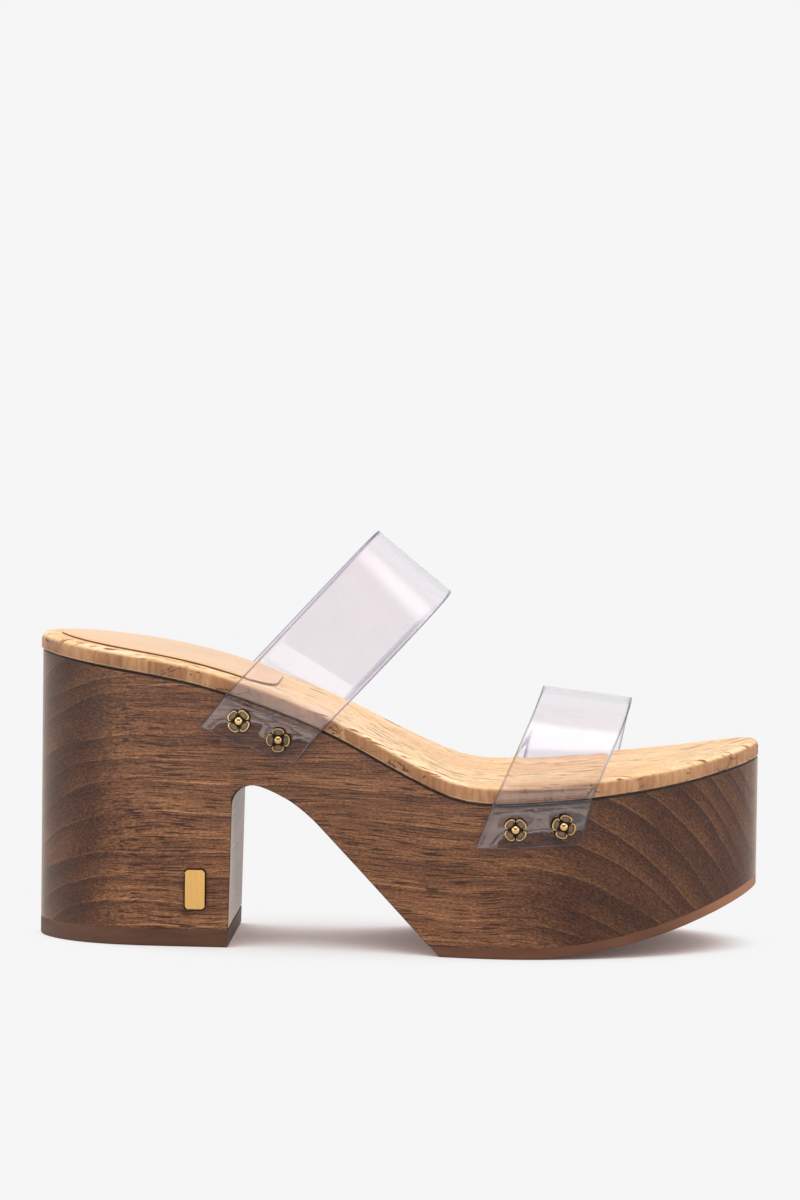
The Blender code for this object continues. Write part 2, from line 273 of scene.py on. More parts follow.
ring_strength = add_node(walnut, "ShaderNodeMapRange", {"Value": end_grain, "To Min": 0.3, "To Max": 0.5})
patch_place = add_node(walnut, "ShaderNodeMapping", {"Vector": grain, "Scale": cells(45, 16, 16)})
patch = add_node(walnut, "ShaderNodeTexNoise", {"Vector": patch_place, "Scale": 1.0, "Detail": 1.0})
ring_fade = add_node(
    walnut,
    "ShaderNodeMapRange",
    {"Value": patch, "From Min": 0.36, "From Max": 0.62, "To Min": 0.35, "To Max": 1.3},
)
faded_ring = add_node(walnut, "ShaderNodeMath", {0: ring, 1: ring_fade}, operation="MULTIPLY")
ring_part = add_node(walnut, "ShaderNodeMath", {0: faded_ring, 1: ring_strength}, operation="MULTIPLY")
streak_place = add_node(walnut, "ShaderNodeMapping", {"Vector": grain, "Scale": cells(44, 1.1, 6)})
streak = add_node(
    walnut,
    "ShaderNodeTexNoise",
    {"Vector": streak_place, "Scale": 1.0, "Detail": 4.0, "Roughness": 0.6},
)
fibre_place = add_node(walnut, "ShaderNodeMapping", {"Vector": grain, "Scale": cells(4, 0.45, 0.5)})
fibre = add_node(walnut, "ShaderNodeTexNoise", {"Vector": fibre_place, "Scale": 1.0, "Detail": 3.0})
side_grain = add_node(walnut, "ShaderNodeMapRange", {"Value": end_grain, "To Min": 0.85, "To Max": 0.25})
streak_swing = add_node(walnut, "ShaderNodeMath", {0: streak, 1: NOISE_MIDDLE}, operation="SUBTRACT")
calm_streak = add_node(
    walnut,
    "ShaderNodeMath",
    {0: streak_swing, 1: side_grain, 2: NOISE_MIDDLE},
    operation="MULTIPLY_ADD",
)
streak_part = add_node(
    walnut, "ShaderNodeMath", {0: fibre, 1: FIBRE_SHARE, 2: calm_streak}, operation="MULTIPLY_ADD"
)
speck_place = add_node(walnut, "ShaderNodeMapping", {"Vector": grain, "Scale": cells(1.1, 0.4, 0.4)})
speck = add_node(walnut, "ShaderNodeTexNoise", {"Vector": speck_place, "Scale": 1.0, "Detail": 1.0})
speck_swing = add_node(walnut, "ShaderNodeMath", {0: speck, 1: NOISE_MIDDLE}, operation="SUBTRACT")
speck_strength = add_node(walnut, "ShaderNodeMapRange", {"Value": end_grain, "To Min": 0.7, "To Max": 1.1})
specked = add_node(
    walnut, "ShaderNodeMath", {0: speck_swing, 1: speck_strength, 2: streak_part}, operation="MULTIPLY_ADD"
)
tone_sum = add_node(walnut, "ShaderNodeMath", {0: specked, 1: ring_part}, operation="ADD")
tone = add_node(walnut, "ShaderNodeMapRange", {"Value": tone_sum, "From Min": 0.45, "From Max": 1.22})
wood_colour = add_node(
    walnut,
    "ShaderNodeValToRGB",
    {"Fac": tone},
    stops=((0.0, "#382117"), (1.0, "#ac7b4e"), (0.35, "#643d26"), (0.62, "#825637")),
)
pore_place = add_node(walnut, "ShaderNodeMapping", {"Vector": grain, "Scale": cells(9, 0.42, 0.6)})
pore_noise = add_node(walnut, "ShaderNodeTexNoise", {"Vector": pore_place, "Scale": 1.0, "Detail": 0.0})
pore_group_place = add_node(walnut, "ShaderNodeMapping", {"Vector": grain, "Scale": cells(26, 6, 9)})
pore_group = add_node(walnut, "ShaderNodeTexNoise", {"Vector": pore_group_place, "Scale": 1.0})
pore_limit = add_node(
    walnut,
    "ShaderNodeMapRange",
    {"Value": pore_group, "From Min": 0.35, "From Max": 0.65, "To Min": 0.65, "To Max": 0.56},
)
pore_over = add_node(walnut, "ShaderNodeMath", {0: pore_noise, 1: pore_limit}, operation="SUBTRACT")
open_pore = add_node(walnut, "ShaderNodeMapRange", {"Value": pore_over, "From Min": 0.0, "From Max": 0.05})
pore = add_node(walnut, "ShaderNodeMath", {0: open_pore, 1: side_grain}, operation="MULTIPLY")
pored = add_node(
    walnut, "ShaderNodeMixRGB", {"Fac": pore, "Color1": wood_colour, "Color2": "#24130d"}
)
stained = add_node(
    walnut,
    "ShaderNodeMixRGB",
    {"Fac": end_grain, "Color1": pored, "Color2": "#9d918d"},
    blend_type="MULTIPLY",
)
# Painted shadow: the groove under the cork is coloured near black, and the broken edges take some of it as
# stain.
shadowed_and_stained = add_node(walnut, "ShaderNodeMixRGB", {"Fac": joint_shadow_and_edge_stain, "Color1": stained, "Color2": "#1a0f09"})
wood_relief = add_node(
    walnut, "ShaderNodeMath", {0: pore, 1: -PORE_DEPTH, 2: fibre}, operation="MULTIPLY_ADD"
)
wood_bump = add_node(
    walnut, "ShaderNodeBump", {"Height": wood_relief, "Strength": 0.35, "Distance": 0.06 * MM}
)
wood_roughness = add_node(walnut, "ShaderNodeMapRange", {"Value": tone, "To Min": 0.5, "To Max": 0.4})
set_inputs(
    walnut_shader,
    {
        "Base Color": shadowed_and_stained,
        "Roughness": wood_roughness,
        "Normal": wood_bump,
        "Specular IOR Level": 0.12,
        "Coat Weight": 0.3,
        "Coat Roughness": 0.16,
        "Sheen Weight": 0.42,
        "Sheen Roughness": 0.34,
        "Sheen Tint": "#ffdcc8",
    },
)

block = points_of(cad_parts["platform"].data)
stations = sorted(set(np.round(block[:, 0], 2)))
slices = [block[np.abs(block[:, 0] - x) < SAME_STATION] for x in stations]
outer_wall = [points[:, 1].min() for points in slices]
inner_wall = [points[:, 1].max() for points in slices]
wood_top = [points[:, 2].max() for points in slices]


def depth_below_cork(place):
    """How far a point of the wood lies below its top, in millimetres."""
    return float(np.interp(place.x / MM, stations, wood_top)) - place.z / MM


def surface_of(*nodes):
    """A search tree over the faces of CAD nodes."""
    bm = bmesh.new()
    for node in nodes:
        bm.from_mesh(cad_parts[node].data)
    tree = BVHTree.FromBMesh(bm)
    bm.free()
    return tree


def touching(v, tree):
    """Whether a point lies in a glued joint with the pieces in a search tree."""
    return tree.find_nearest(v.co)[3] < JOINT


rubber_faces = surface_of("heel_lift", "forefoot_outsole")
platform_shape = node_shape("platform", merge=WOOD_MERGE)
sharp = sharp_edges(platform_shape)
under_cork = [e for e in sharp if max(depth_below_cork(v.co) for v in e.verts) < WOOD_TOP_EDGE]
round_off(platform_shape, under_cork, WOOD_GROOVE, segments=4)
# The groove under the cork is marked for painted shadow, and the broken edges below it for stain.
shadow_and_stain_layer = platform_shape.verts.layers.float.new("joint_shadow_and_edge_stain")
for v in inner_points(platform_shape, WOOD_GROOVE_FACE):
    v[shadow_and_stain_layer] = 1.0
open_edges = [
    e for e in sharp_edges(platform_shape) if not all(touching(v, rubber_faces) for v in e.verts)
]
round_off(platform_shape, open_edges, WOOD_EDGE)
for v in inner_points(platform_shape, WOOD_EDGE_FACE):
    v[shadow_and_stain_layer] = max(v[shadow_and_stain_layer], EDGE_STAIN)
platform = make_piece("wooden_platform", platform_shape, walnut, "wood", "platform")
wood_points = points_of(platform.data)
along_flat = np.clip(wood_points[:, 0], *FLAT_SIDE)
from_outer = wood_points[:, 1] - np.interp(along_flat, stations, outer_wall)
from_inner = np.interp(along_flat, stations, inner_wall) - wood_points[:, 1]
inward_share = np.exp(-from_outer / GRAIN_BLEND) + np.exp(-from_inner / GRAIN_BLEND)
store(platform.data, "inward_mm", -GRAIN_BLEND * np.log(inward_share))
shade_by_walls(platform)

# The heel lift: a flat top-piece of brown rubber glued under the block heel, trimmed flush with it.
# Cutting and buffing leave its edge matt, with faint scuffs and a grit drawn coarser than it is.
LIFT_EDGE = 0.35 * MM
GLUE = 0.28 * MM

lift_rubber, lift_shader, lift_mm = start_material("buffed_brown_rubber")
lift_place = add_node(lift_rubber, "ShaderNodeMapping", {"Vector": lift_mm, "Scale": cells(14, 14, 2.5)})
lift_mottle = add_node(
    lift_rubber, "ShaderNodeTexNoise", {"Vector": lift_place, "Scale": 1.0, "Detail": 5.0}
)
lift_colour = add_node(
    lift_rubber, "ShaderNodeValToRGB", {"Fac": lift_mottle}, stops=((0.3, "#472b1c"), (0.7, "#583826"))
)
lift_grit_place = add_node(
    lift_rubber, "ShaderNodeMapping", {"Vector": lift_mm, "Scale": cells(0.6, 0.6, 0.3)}
)
lift_grit = add_node(lift_rubber, "ShaderNodeTexNoise", {"Vector": lift_grit_place, "Scale": 1.0})
lift_bump = add_node(
    lift_rubber, "ShaderNodeBump", {"Height": lift_grit, "Strength": 0.3, "Distance": 0.05 * MM}
)
set_inputs(
    lift_shader,
    {"Base Color": lift_colour, "Roughness": 0.6, "Specular IOR Level": 0.3, "Normal": lift_bump},
)


def glue_to_wood(bm, edge):
    """Closes the glued joint between rubber and wood, and rounds the rubber's other edges."""
    glued = [v for v in bm.verts if touching(v, wood_faces)]
    free_edges = [e for e in sharp_edges(bm) if not all(v in glued for v in e.verts)]
    bmesh.ops.translate(bm, verts=glued, vec=(0, 0, GLUE))
    round_off(bm, free_edges, edge)


wood_faces = surface_of("platform")
lift_shape = node_shape("heel_lift")
glue_to_wood(lift_shape, LIFT_EDGE)
lift = make_piece("rubber_heel_lift", lift_shape, lift_rubber, "heel_rubber", "heel_lift")
shade_by_walls(lift)

# The forefoot outsole: a thin sheet of tan rubber glued under the forefoot and bent up at the toe.
# It is cut from moulded sheet, so its edge is a lighter, even line under the dark wood. It is drawn paler
# towards the toe. Its grit is drawn coarser than it is.
OUTSOLE_EDGE = 0.4 * MM
OUTSOLE_PALER_FROM = (84.0, 112.0)

sole_rubber, sole_shader, sole_mm = start_material("moulded_tan_rubber")
sole_place = add_node(sole_rubber, "ShaderNodeMapping", {"Vector": sole_mm, "Scale": cells(20, 20, 2)})
sole_mottle = add_node(
    sole_rubber, "ShaderNodeTexNoise", {"Vector": sole_place, "Scale": 1.0, "Detail": 5.0}
)
sole_colour = add_node(
    sole_rubber, "ShaderNodeValToRGB", {"Fac": sole_mottle}, stops=((0.3, "#502f1f"), (0.7, "#633c26"))
)
sole_along = add_node(sole_rubber, "ShaderNodeSeparateXYZ", {"Vector": sole_mm})
# The colour turns paler towards the toe.
sole_paler_to_toe = add_node(
    sole_rubber,
    "ShaderNodeMapRange",
    {
        "Value": sole_along.outputs["X"],
        "From Min": OUTSOLE_PALER_FROM[0],
        "From Max": OUTSOLE_PALER_FROM[1],
    },
    interpolation_type="SMOOTHSTEP",
)
sole_face = add_node(
    sole_rubber, "ShaderNodeMixRGB", {"Fac": sole_paler_to_toe, "Color1": sole_colour, "Color2": "#855639"}
)
sole_grit_place = add_node(
    sole_rubber, "ShaderNodeMapping", {"Vector": sole_mm, "Scale": cells(0.8, 0.8, 0.4)}
)
sole_grit = add_node(sole_rubber, "ShaderNodeTexNoise", {"Vector": sole_grit_place, "Scale": 1.0})
sole_bump = add_node(
    sole_rubber, "ShaderNodeBump", {"Height": sole_grit, "Strength": 0.3, "Distance": 0.05 * MM}
)
set_inputs(
    sole_shader,
    {"Base Color": sole_face, "Roughness": 0.5, "Specular IOR Level": 0.3, "Normal": sole_bump},
)
outsole_shape = node_shape("forefoot_outsole")
glue_to_wood(outsole_shape, OUTSOLE_EDGE)
outsole = make_piece(
    "rubber_forefoot_outsole", outsole_shape, sole_rubber, "outsole_rubber", "forefoot_outsole"
)
shade_by_walls(outsole)

# The footbed: an insole board wrapped in natural cork sheet, glued on the wood with its edge flush.
# At the back of the heel the wrapped edge swells a little past the wood.
CORK_EDGE = 0.3 * MM
CORK_SWELL = 0.5 * MM
CORK_SWELL_FADE = (-108.0, -80.0)

# Cork sliced from pressed bark: pale blocks with dark slits along the foot on top, and upright bark
# streaks with pits, cracks and a thin pale lip round the edge.
CORK_BLOCK = (24.0, 9.0)
BLOCK_CONTRAST = 0.45
CRUMB_CONTRAST = 1.1
CRUMB_BASE = -0.3
SLITS_BY_BLOCK = 0.3
SLAB_CONTRAST = 0.4
CRACK_WANDER = (0.5, 0.5, 0.5)
LIP_PALENESS = 0.18
CORK_HOLE_DEPTH = 1.1

cork, cork_shader, cork_mm = start_material("natural_cork")
above_wood = add_node(cork, "ShaderNodeAttribute", attribute_name="above_wood_mm").outputs["Fac"]
cork_normal = add_node(cork, "ShaderNodeNewGeometry").outputs["Normal"]
cork_facing = add_node(cork, "ShaderNodeSeparateXYZ", {"Vector": cork_normal})
on_top = add_node(
    cork,
    "ShaderNodeMapRange",
    {"Value": cork_facing.outputs["Z"], "From Min": 0.35, "From Max": 0.85},
    interpolation_type="SMOOTHSTEP",
)
crumb_place = add_node(cork, "ShaderNodeMapping", {"Vector": cork_mm, "Scale": cells(1.1, 0.7, 0.7)})
crumb = add_node(cork, "ShaderNodeTexNoise", {"Vector": crumb_place, "Scale": 1.0, "Detail": 2.0})
blocks = add_node(
    cork,
    "ShaderNodeTexBrick",
    {
        "Vector": cork_mm,
        "Color1": (0, 0, 0, 1),
        "Color2": (1, 1, 1, 1),
        "Scale": 1.0,
        "Mortar Size": 0.0,
        "Brick Width": CORK_BLOCK[0],
        "Row Height": CORK_BLOCK[1],
    },
    offset=0.37,
    squash=0.7,
    squash_frequency=3,
)
block_tone = add_node(
    cork, "ShaderNodeMath", {0: crumb, 1: CRUMB_CONTRAST, 2: CRUMB_BASE}, operation="MULTIPLY_ADD"
)
block_mix = add_node(
    cork, "ShaderNodeMath", {0: blocks, 1: BLOCK_CONTRAST, 2: block_tone}, operation="MULTIPLY_ADD"
)
block_colour = add_node(
    cork,
    "ShaderNodeValToRGB",
    {"Fac": block_mix},
    stops=((0.0, "#d2a372"), (1.0, "#eed3ae"), (0.45, "#e3bd90")),
)
slit_place = add_node(cork, "ShaderNodeMapping", {"Vector": cork_mm, "Scale": cells(8, 0.85, 4)})
slit_noise = add_node(cork, "ShaderNodeTexNoise", {"Vector": slit_place, "Scale": 1.0, "Detail": 2.0})
slit_group_place = add_node(cork, "ShaderNodeMapping", {"Vector": cork_mm, "Scale": cells(30, 8, 20)})
slit_group = add_node(cork, "ShaderNodeTexNoise", {"Vector": slit_group_place, "Scale": 1.0})
slit_rate = add_node(
    cork, "ShaderNodeMath", {0: blocks, 1: SLITS_BY_BLOCK, 2: slit_group}, operation="MULTIPLY_ADD"
)
slit_limit = add_node(
    cork,
    "ShaderNodeMapRange",
    {"Value": slit_rate, "From Min": 0.35, "From Max": 0.85, "To Min": 0.69, "To Max": 0.54},
)
slit_over = add_node(cork, "ShaderNodeMath", {0: slit_noise, 1: slit_limit}, operation="SUBTRACT")
slit = add_node(cork, "ShaderNodeMapRange", {"Value": slit_over, "From Min": 0.0, "From Max": 0.05})
top_colour = add_node(cork, "ShaderNodeMixRGB", {"Fac": slit, "Color1": block_colour, "Color2": "#804a20"})
bark_place = add_node(cork, "ShaderNodeMapping", {"Vector": cork_mm, "Scale": cells(1.3, 1.3, 7)})
bark = add_node(cork, "ShaderNodeTexNoise", {"Vector": bark_place, "Scale": 1.0, "Detail": 3.0})
slab_place = add_node(cork, "ShaderNodeMapping", {"Vector": cork_mm, "Scale": cells(8, 8, 40)})
slab = add_node(cork, "ShaderNodeTexVoronoi", {"Vector": slab_place, "Scale": 1.0})
slab_tone = add_node(cork, "ShaderNodeSeparateColor", {"Color": slab.outputs["Color"]})
bark_mix = add_node(
    cork, "ShaderNodeMath", {0: slab_tone, 1: SLAB_CONTRAST, 2: bark}, operation="MULTIPLY_ADD"
)
bark_share = add_node(cork, "ShaderNodeMapRange", {"Value": bark_mix, "From Min": 0.35, "From Max": 1.05})
bark_colour = add_node(
    cork,
    "ShaderNodeValToRGB",
    {"Fac": bark_share},
    stops=((0.0, "#794f2d"), (1.0, "#aa7e56"), (0.5, "#93653f")),
)
pit_place = add_node(cork, "ShaderNodeMapping", {"Vector": cork_mm, "Scale": cells(1.7, 1.7, 0.8)})
pit_noise = add_node(cork, "ShaderNodeTexNoise", {"Vector": pit_place, "Scale": 1.0, "Detail": 3.0})
pit_group_place = add_node(cork, "ShaderNodeMapping", {"Vector": cork_mm, "Scale": cells(14, 14, 14)})
pit_group = add_node(cork, "ShaderNodeTexNoise", {"Vector": pit_group_place, "Scale": 1.0})
low_down = add_node(
    cork, "ShaderNodeMapRange", {"Value": above_wood, "From Min": 2.2, "From Max": 0.6, "To Max": 0.08}
)
pit_rate = add_node(cork, "ShaderNodeMath", {0: pit_group, 1: low_down}, operation="ADD")
pit_limit = add_node(
    cork,
    "ShaderNodeMapRange",
    {"Value": pit_rate, "From Min": 0.4, "From Max": 0.7, "To Min": 0.76, "To Max": 0.57},
)
pit_over = add_node(cork, "ShaderNodeMath", {0: pit_noise, 1: pit_limit}, operation="SUBTRACT")
pit = add_node(cork, "ShaderNodeMapRange", {"Value": pit_over, "From Min": 0.0, "From Max": 0.04})
crack_place = add_node(cork, "ShaderNodeMapping", {"Vector": cork_mm, "Scale": cells(9, 9, 7)})
crack_bend = add_node(cork, "ShaderNodeTexNoise", {"Vector": crack_place, "Scale": 2.0})
crack_bent = add_node(
    cork,
    "ShaderNodeVectorMath",
    {0: crack_bend.outputs["Color"], 1: CRACK_WANDER, 2: crack_place},
    operation="MULTIPLY_ADD",
)
crack_cells = add_node(
    cork, "ShaderNodeTexVoronoi", {"Vector": crack_bent, "Scale": 1.0}, feature="DISTANCE_TO_EDGE"
)
crack_line = add_node(
    cork, "ShaderNodeMapRange", {"Value": crack_cells, "From Min": 0.035, "From Max": 0.015}
)
crack_open_place = add_node(cork, "ShaderNodeMapping", {"Vector": cork_mm, "Scale": cells(11, 11, 5)})
crack_open = add_node(cork, "ShaderNodeTexNoise", {"Vector": crack_open_place, "Scale": 1.0})
crack_shown = add_node(
    cork, "ShaderNodeMapRange", {"Value": crack_open, "From Min": 0.56, "From Max": 0.62}
)
crack = add_node(cork, "ShaderNodeMath", {0: crack_line, 1: crack_shown}, operation="MULTIPLY")
hole = add_node(cork, "ShaderNodeMath", {0: pit, 1: crack}, operation="MAXIMUM")
side_colour = add_node(cork, "ShaderNodeMixRGB", {"Fac": hole, "Color1": bark_colour, "Color2": "#54301a"})
lip = add_node(cork, "ShaderNodeMapRange", {"Value": above_wood, "From Min": 0.9, "From Max": 0.6})
pale_lip = add_node(cork, "ShaderNodeMath", {0: lip, 1: LIP_PALENESS}, operation="MULTIPLY")
lipped = add_node(
    cork, "ShaderNodeMixRGB", {"Fac": pale_lip, "Color1": side_colour, "Color2": "#edcfb0"}
)
cork_colour = add_node(
    cork, "ShaderNodeMixRGB", {"Fac": on_top, "Color1": lipped, "Color2": top_colour}
)
cork_holes = add_node(cork, "ShaderNodeMixRGB", {"Fac": on_top, "Color1": hole, "Color2": slit})
cork_relief = add_node(
    cork, "ShaderNodeMath", {0: cork_holes, 1: -CORK_HOLE_DEPTH, 2: crumb}, operation="MULTIPLY_ADD"
)
cork_bump = add_node(
    cork, "ShaderNodeBump", {"Height": cork_relief, "Strength": 0.5, "Distance": 0.15 * MM}
)
set_inputs(cork_shader, {"Base Color": cork_colour, "Roughness": 0.62, "Normal": cork_bump})

footbed_shape = node_shape("footbed")
round_off(footbed_shape, sharp_edges(footbed_shape), CORK_EDGE)
for v in footbed_shape.verts:
    share = np.interp(v.co.x / MM, CORK_SWELL_FADE, (1.0, 0.0))
    level = Vector((v.normal.x, v.normal.y, 0.0))
    v.co += level * float(share) * CORK_SWELL
footbed = make_piece("cork_footbed", footbed_shape, cork, "cork", "footbed")
cork_points = points_of(footbed.data)
store(footbed.data, "above_wood_mm", cork_points[:, 2] - np.interp(cork_points[:, 0], stations, wood_top))

# The heel pad: a half sock of smooth peach leather over thin foam, glued on the cork under the heel.
# Its cut edge is darker than its face, and its upright side is painted darkest, as the shadow along
# its foot. Its creases are drawn coarser than they are so that they show.
leather, leather_shader, leather_mm = start_material("smooth_peach_leather")
leather_normal = add_node(leather, "ShaderNodeNewGeometry").outputs["Normal"]
leather_facing = add_node(leather, "ShaderNodeSeparateXYZ", {"Vector": leather_normal})
# The lowest stop, on the upright side, is painted shadow along the pad's foot; the rest is the edge's own
# colour.
leather_edge_and_foot_shadow = add_node(
    leather,
    "ShaderNodeValToRGB",
    {"Fac": leather_facing.outputs["Z"]},
    stops=((0.05, "#6b3d1d"), (0.6, "#7a4822"), (0.15, "#c48a58"), (0.45, "#cf9862")),
)
leather_face = add_node(
    leather, "ShaderNodeMapRange", {"Value": leather_facing.outputs["Z"], "From Min": 0.6, "From Max": 0.85}
)
cloud_place = add_node(leather, "ShaderNodeMapping", {"Vector": leather_mm, "Scale": cells(30, 18, 18)})
cloud = add_node(leather, "ShaderNodeTexNoise", {"Vector": cloud_place, "Scale": 1.0, "Detail": 4.0})
leather_tone = add_node(
    leather, "ShaderNodeValToRGB", {"Fac": cloud}, stops=((0.3, "#d7aa7c"), (0.7, "#deb58b"))
)
leather_grain_place = add_node(
    leather, "ShaderNodeMapping", {"Vector": leather_mm, "Scale": cells(0.7, 0.7, 0.7)}
)
leather_grain = add_node(leather, "ShaderNodeTexVoronoi", {"Vector": leather_grain_place, "Scale": 1.0})
crease = add_node(
    leather,
    "ShaderNodeMapRange",
    {"Value": leather_grain.outputs["Distance"], "From Min": 0.35, "From Max": 0.75, "To Max": 0.16},
)
creased = add_node(
    leather, "ShaderNodeMixRGB", {"Fac": crease, "Color1": leather_tone, "Color2": "#b5855c"}
)
leather_colour = add_node(
    leather, "ShaderNodeMixRGB", {"Fac": leather_face, "Color1": leather_edge_and_foot_shadow, "Color2": creased}
)
leather_bump = add_node(
    leather, "ShaderNodeBump", {"Height": crease, "Strength": 0.5, "Distance": -0.3 * MM}
)
set_inputs(leather_shader, {"Base Color": leather_colour, "Roughness": 0.32, "Normal": leather_bump})
pad_shape = node_shape("heel_pad")
cork_faces = surface_of("footbed")
pad_underside = [v for v in pad_shape.verts if touching(v, cork_faces)]
bmesh.ops.translate(pad_shape, verts=pad_underside, vec=(0, 0, -GLUE))
pad = make_piece("leather_heel_pad", pad_shape, leather, "leather", "heel_pad")

# The straps: two bands of clear soft PVC sheet. Each tab lies on the wood and is nailed there, and a
# fold runs along the joint of wood and cork, where the band starts its arch over the foot.
# Below the nails the loose end of the tab springs away from the wood a little.
STRAP_CORNER = 0.8 * MM
STRAP_CORNER_EDGE = 2 * MM
STRAP_EDGE = 0.35 * MM
STRAP_EDGE_FACE = 0.8 * MM
STRAP_EDGE_ANGLE = math.radians(60)
STRAP_FACE_BEND = math.radians(30)
STRAP_FACE_SKEW = math.radians(75)
FOLD_RIDGE = 0.36 * MM
FOLD_RIDGE_WIDTH = 0.5
FOLD_DROP = 0.25
CREASE_SHARE = 0.6
CREASE_DROP = 1.1
CREASE_WIDTH = 0.6
TAB_TOP = 0.1 * MM
TAB_FLARE = 0.15
TAB_FLARE_BEND = 1.2
TAB_FLARE_FADE = (3.0, 9.0)
CUT_SNAP = 0.02 * MM
NAIL_DENT = 0.27
NAIL_DENT_REACH = 4.2
STRAP_ROWS = (-13.0, -11.5, -10.0, -8.5, -7.0, -5.0, -3.0, -1.6, -1.0, -0.5, -0.2, 0.2, 0.5, 1.0, 1.6, 3.0)
STRAP_COLUMNS = np.arange(2.0, 32.0, 2.0)
FOLDS = {
    # back end along and up, front end along and up, how far forward the inner side's fold lies,
    # how far back the tab runs for each mm down, and how far below the fold it springs loose
    "instep_strap": ((-54.4, 82.1), (-23.2, 71.0), 0.0, 0.8, 3.4),
    "toe_strap": ((32.4, 49.7), (63.9, 51.8), 5.4, 0.376, 8.0),
}

# Clear PVC, calendered to a smooth sheet: it bends light like glass, is faintly violet in depth and
# shows that violet as a thin frosted line along its cut edges. Lamps shine through it.
clear_pvc, pvc_shader, _ = start_material("clear_soft_pvc")
cut_edge = add_node(clear_pvc, "ShaderNodeAttribute", attribute_name="cut_edge").outputs["Fac"]
pvc_colour = add_node(
    clear_pvc, "ShaderNodeMixRGB", {"Fac": cut_edge, "Color1": "#fdfbfd", "Color2": "#8f80a2"}
)
pvc_roughness = add_node(
    clear_pvc, "ShaderNodeMapRange", {"Value": cut_edge, "To Min": 0.03, "To Max": 0.4}
)
set_inputs(
    pvc_shader,
    {"Base Color": pvc_colour, "Roughness": pvc_roughness, "IOR": 1.5, "Transmission Weight": 1.0},
)
pvc_tint = add_node(clear_pvc, "ShaderNodeVolumeAbsorption", {"Color": "#dccfe0", "Density": 52.0})
lamp_light = add_node(clear_pvc, "ShaderNodeLightPath").outputs["Is Shadow Ray"]
let_through = add_node(clear_pvc, "ShaderNodeBsdfTransparent", {"Color": "#f0ecee"})
pvc_surface = add_node(clear_pvc, "ShaderNodeMixShader", {"Fac": lamp_light, 1: pvc_shader, 2: let_through})
set_inputs(clear_pvc.node_tree.nodes["Material Output"], {"Surface": pvc_surface, "Volume": pvc_tint})


def cut_along(bm, faces, place, normal):
    """Cuts some faces of a shape along a plane."""
    edges = list({e for f in faces for e in f.edges})
    verts = list({v for f in faces for v in f.verts})
    bmesh.ops.bisect_plane(
        bm, geom=verts + edges + faces, dist=CUT_SNAP, plane_co=place, plane_no=normal
    )


for node, (fold_back, fold_front, inner_forward, tab_slant, loose_from) in FOLDS.items():
    bm = bmesh.new()
    bm.from_mesh(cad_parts[node].data)
    bmesh.ops.remove_doubles(bm, verts=bm.verts, dist=SAME_POINT)
    bmesh.ops.join_triangles(
        bm,
        faces=bm.faces,
        angle_face_threshold=STRAP_FACE_BEND,
        angle_shape_threshold=STRAP_FACE_SKEW,
    )
    corners = [e for e in sharp_edges(bm) if e.calc_length() < STRAP_CORNER_EDGE]
    round_off(bm, corners, STRAP_CORNER, segments=5)
    round_off(bm, sharp_edges(bm, STRAP_EDGE_ANGLE), STRAP_EDGE)
    cut_edge_layer = bm.verts.layers.float.new("cut_edge")
    for v in inner_points(bm, STRAP_EDGE_FACE):
        v[cut_edge_layer] = 1.0
    run = (Vector(fold_front) - Vector(fold_back)).normalized()
    upward = Vector((-run.y, 0, run.x))
    # Rows along the fold and columns across the tab give the sheet points to bend at.
    for side in (-1, 1):
        start = Vector((fold_back[0] + (inner_forward if side > 0 else 0), 0, fold_back[1])) * MM
        for row in STRAP_ROWS:
            half = [f for f in bm.faces if f.calc_center_median().y * side > 0]
            cut_along(bm, half, start + upward * row * MM, upward)
        across = Vector((1, 0, -tab_slant)).normalized()
        for column in STRAP_COLUMNS:
            tab = [
                f
                for f in bm.faces
                if f.calc_center_median().y * side > 0
                and all((v.co - start).dot(upward) < TAB_TOP for v in f.verts)
            ]
            cut_along(bm, tab, start + Vector((run.x, 0, run.y)) * column * MM, across)
        side_name = "outer" if side < 0 else "inner"
        nail_boxes = [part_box(f"stud_{node[:-6]}_{side_name}_{end}") for end in ("back", "front")]
        nails = [(Vector(low) + Vector(high)) / 2 for low, high in nail_boxes]
        # The fold stands out, the loose end springs away and the nails press dents.
        for v in bm.verts:
            if v.co.y * side > 0:
                off = (v.co - start).dot(upward) / MM
                off_ridge = off + FOLD_DROP
                off_crease = off_ridge + CREASE_DROP
                ridge = math.exp(-((off_ridge / FOLD_RIDGE_WIDTH) ** 2))
                ridge -= CREASE_SHARE * math.exp(-((off_crease / CREASE_WIDTH) ** 2))
                loose = max(0.0, -off - loose_from)
                bend = min(loose, TAB_FLARE_BEND)
                flare = TAB_FLARE * (bend**2 / (2 * TAB_FLARE_BEND) + loose - bend)
                forward = (v.co - start).dot(across) / MM
                flare *= float(np.interp(forward, TAB_FLARE_FADE, (0.0, 1.0)))
                spans = [(v.co.xz - nail.xz).length / MM / NAIL_DENT_REACH for nail in nails]
                held = min(1.0, sum(math.exp(-(span**2)) for span in spans))
                dent = NAIL_DENT * held if off < 0 else 0.0
                v.co.y += side * (FOLD_RIDGE * ridge + (flare * (1 - held) - dent) * MM)
    strap = make_piece(f"clear_{node}", bm, clear_pvc, "clear_sheet", node)
    smoother = strap.modifiers.new("even out", "SUBSURF")
    smoother.levels = 1
    smoother.render_levels = 1

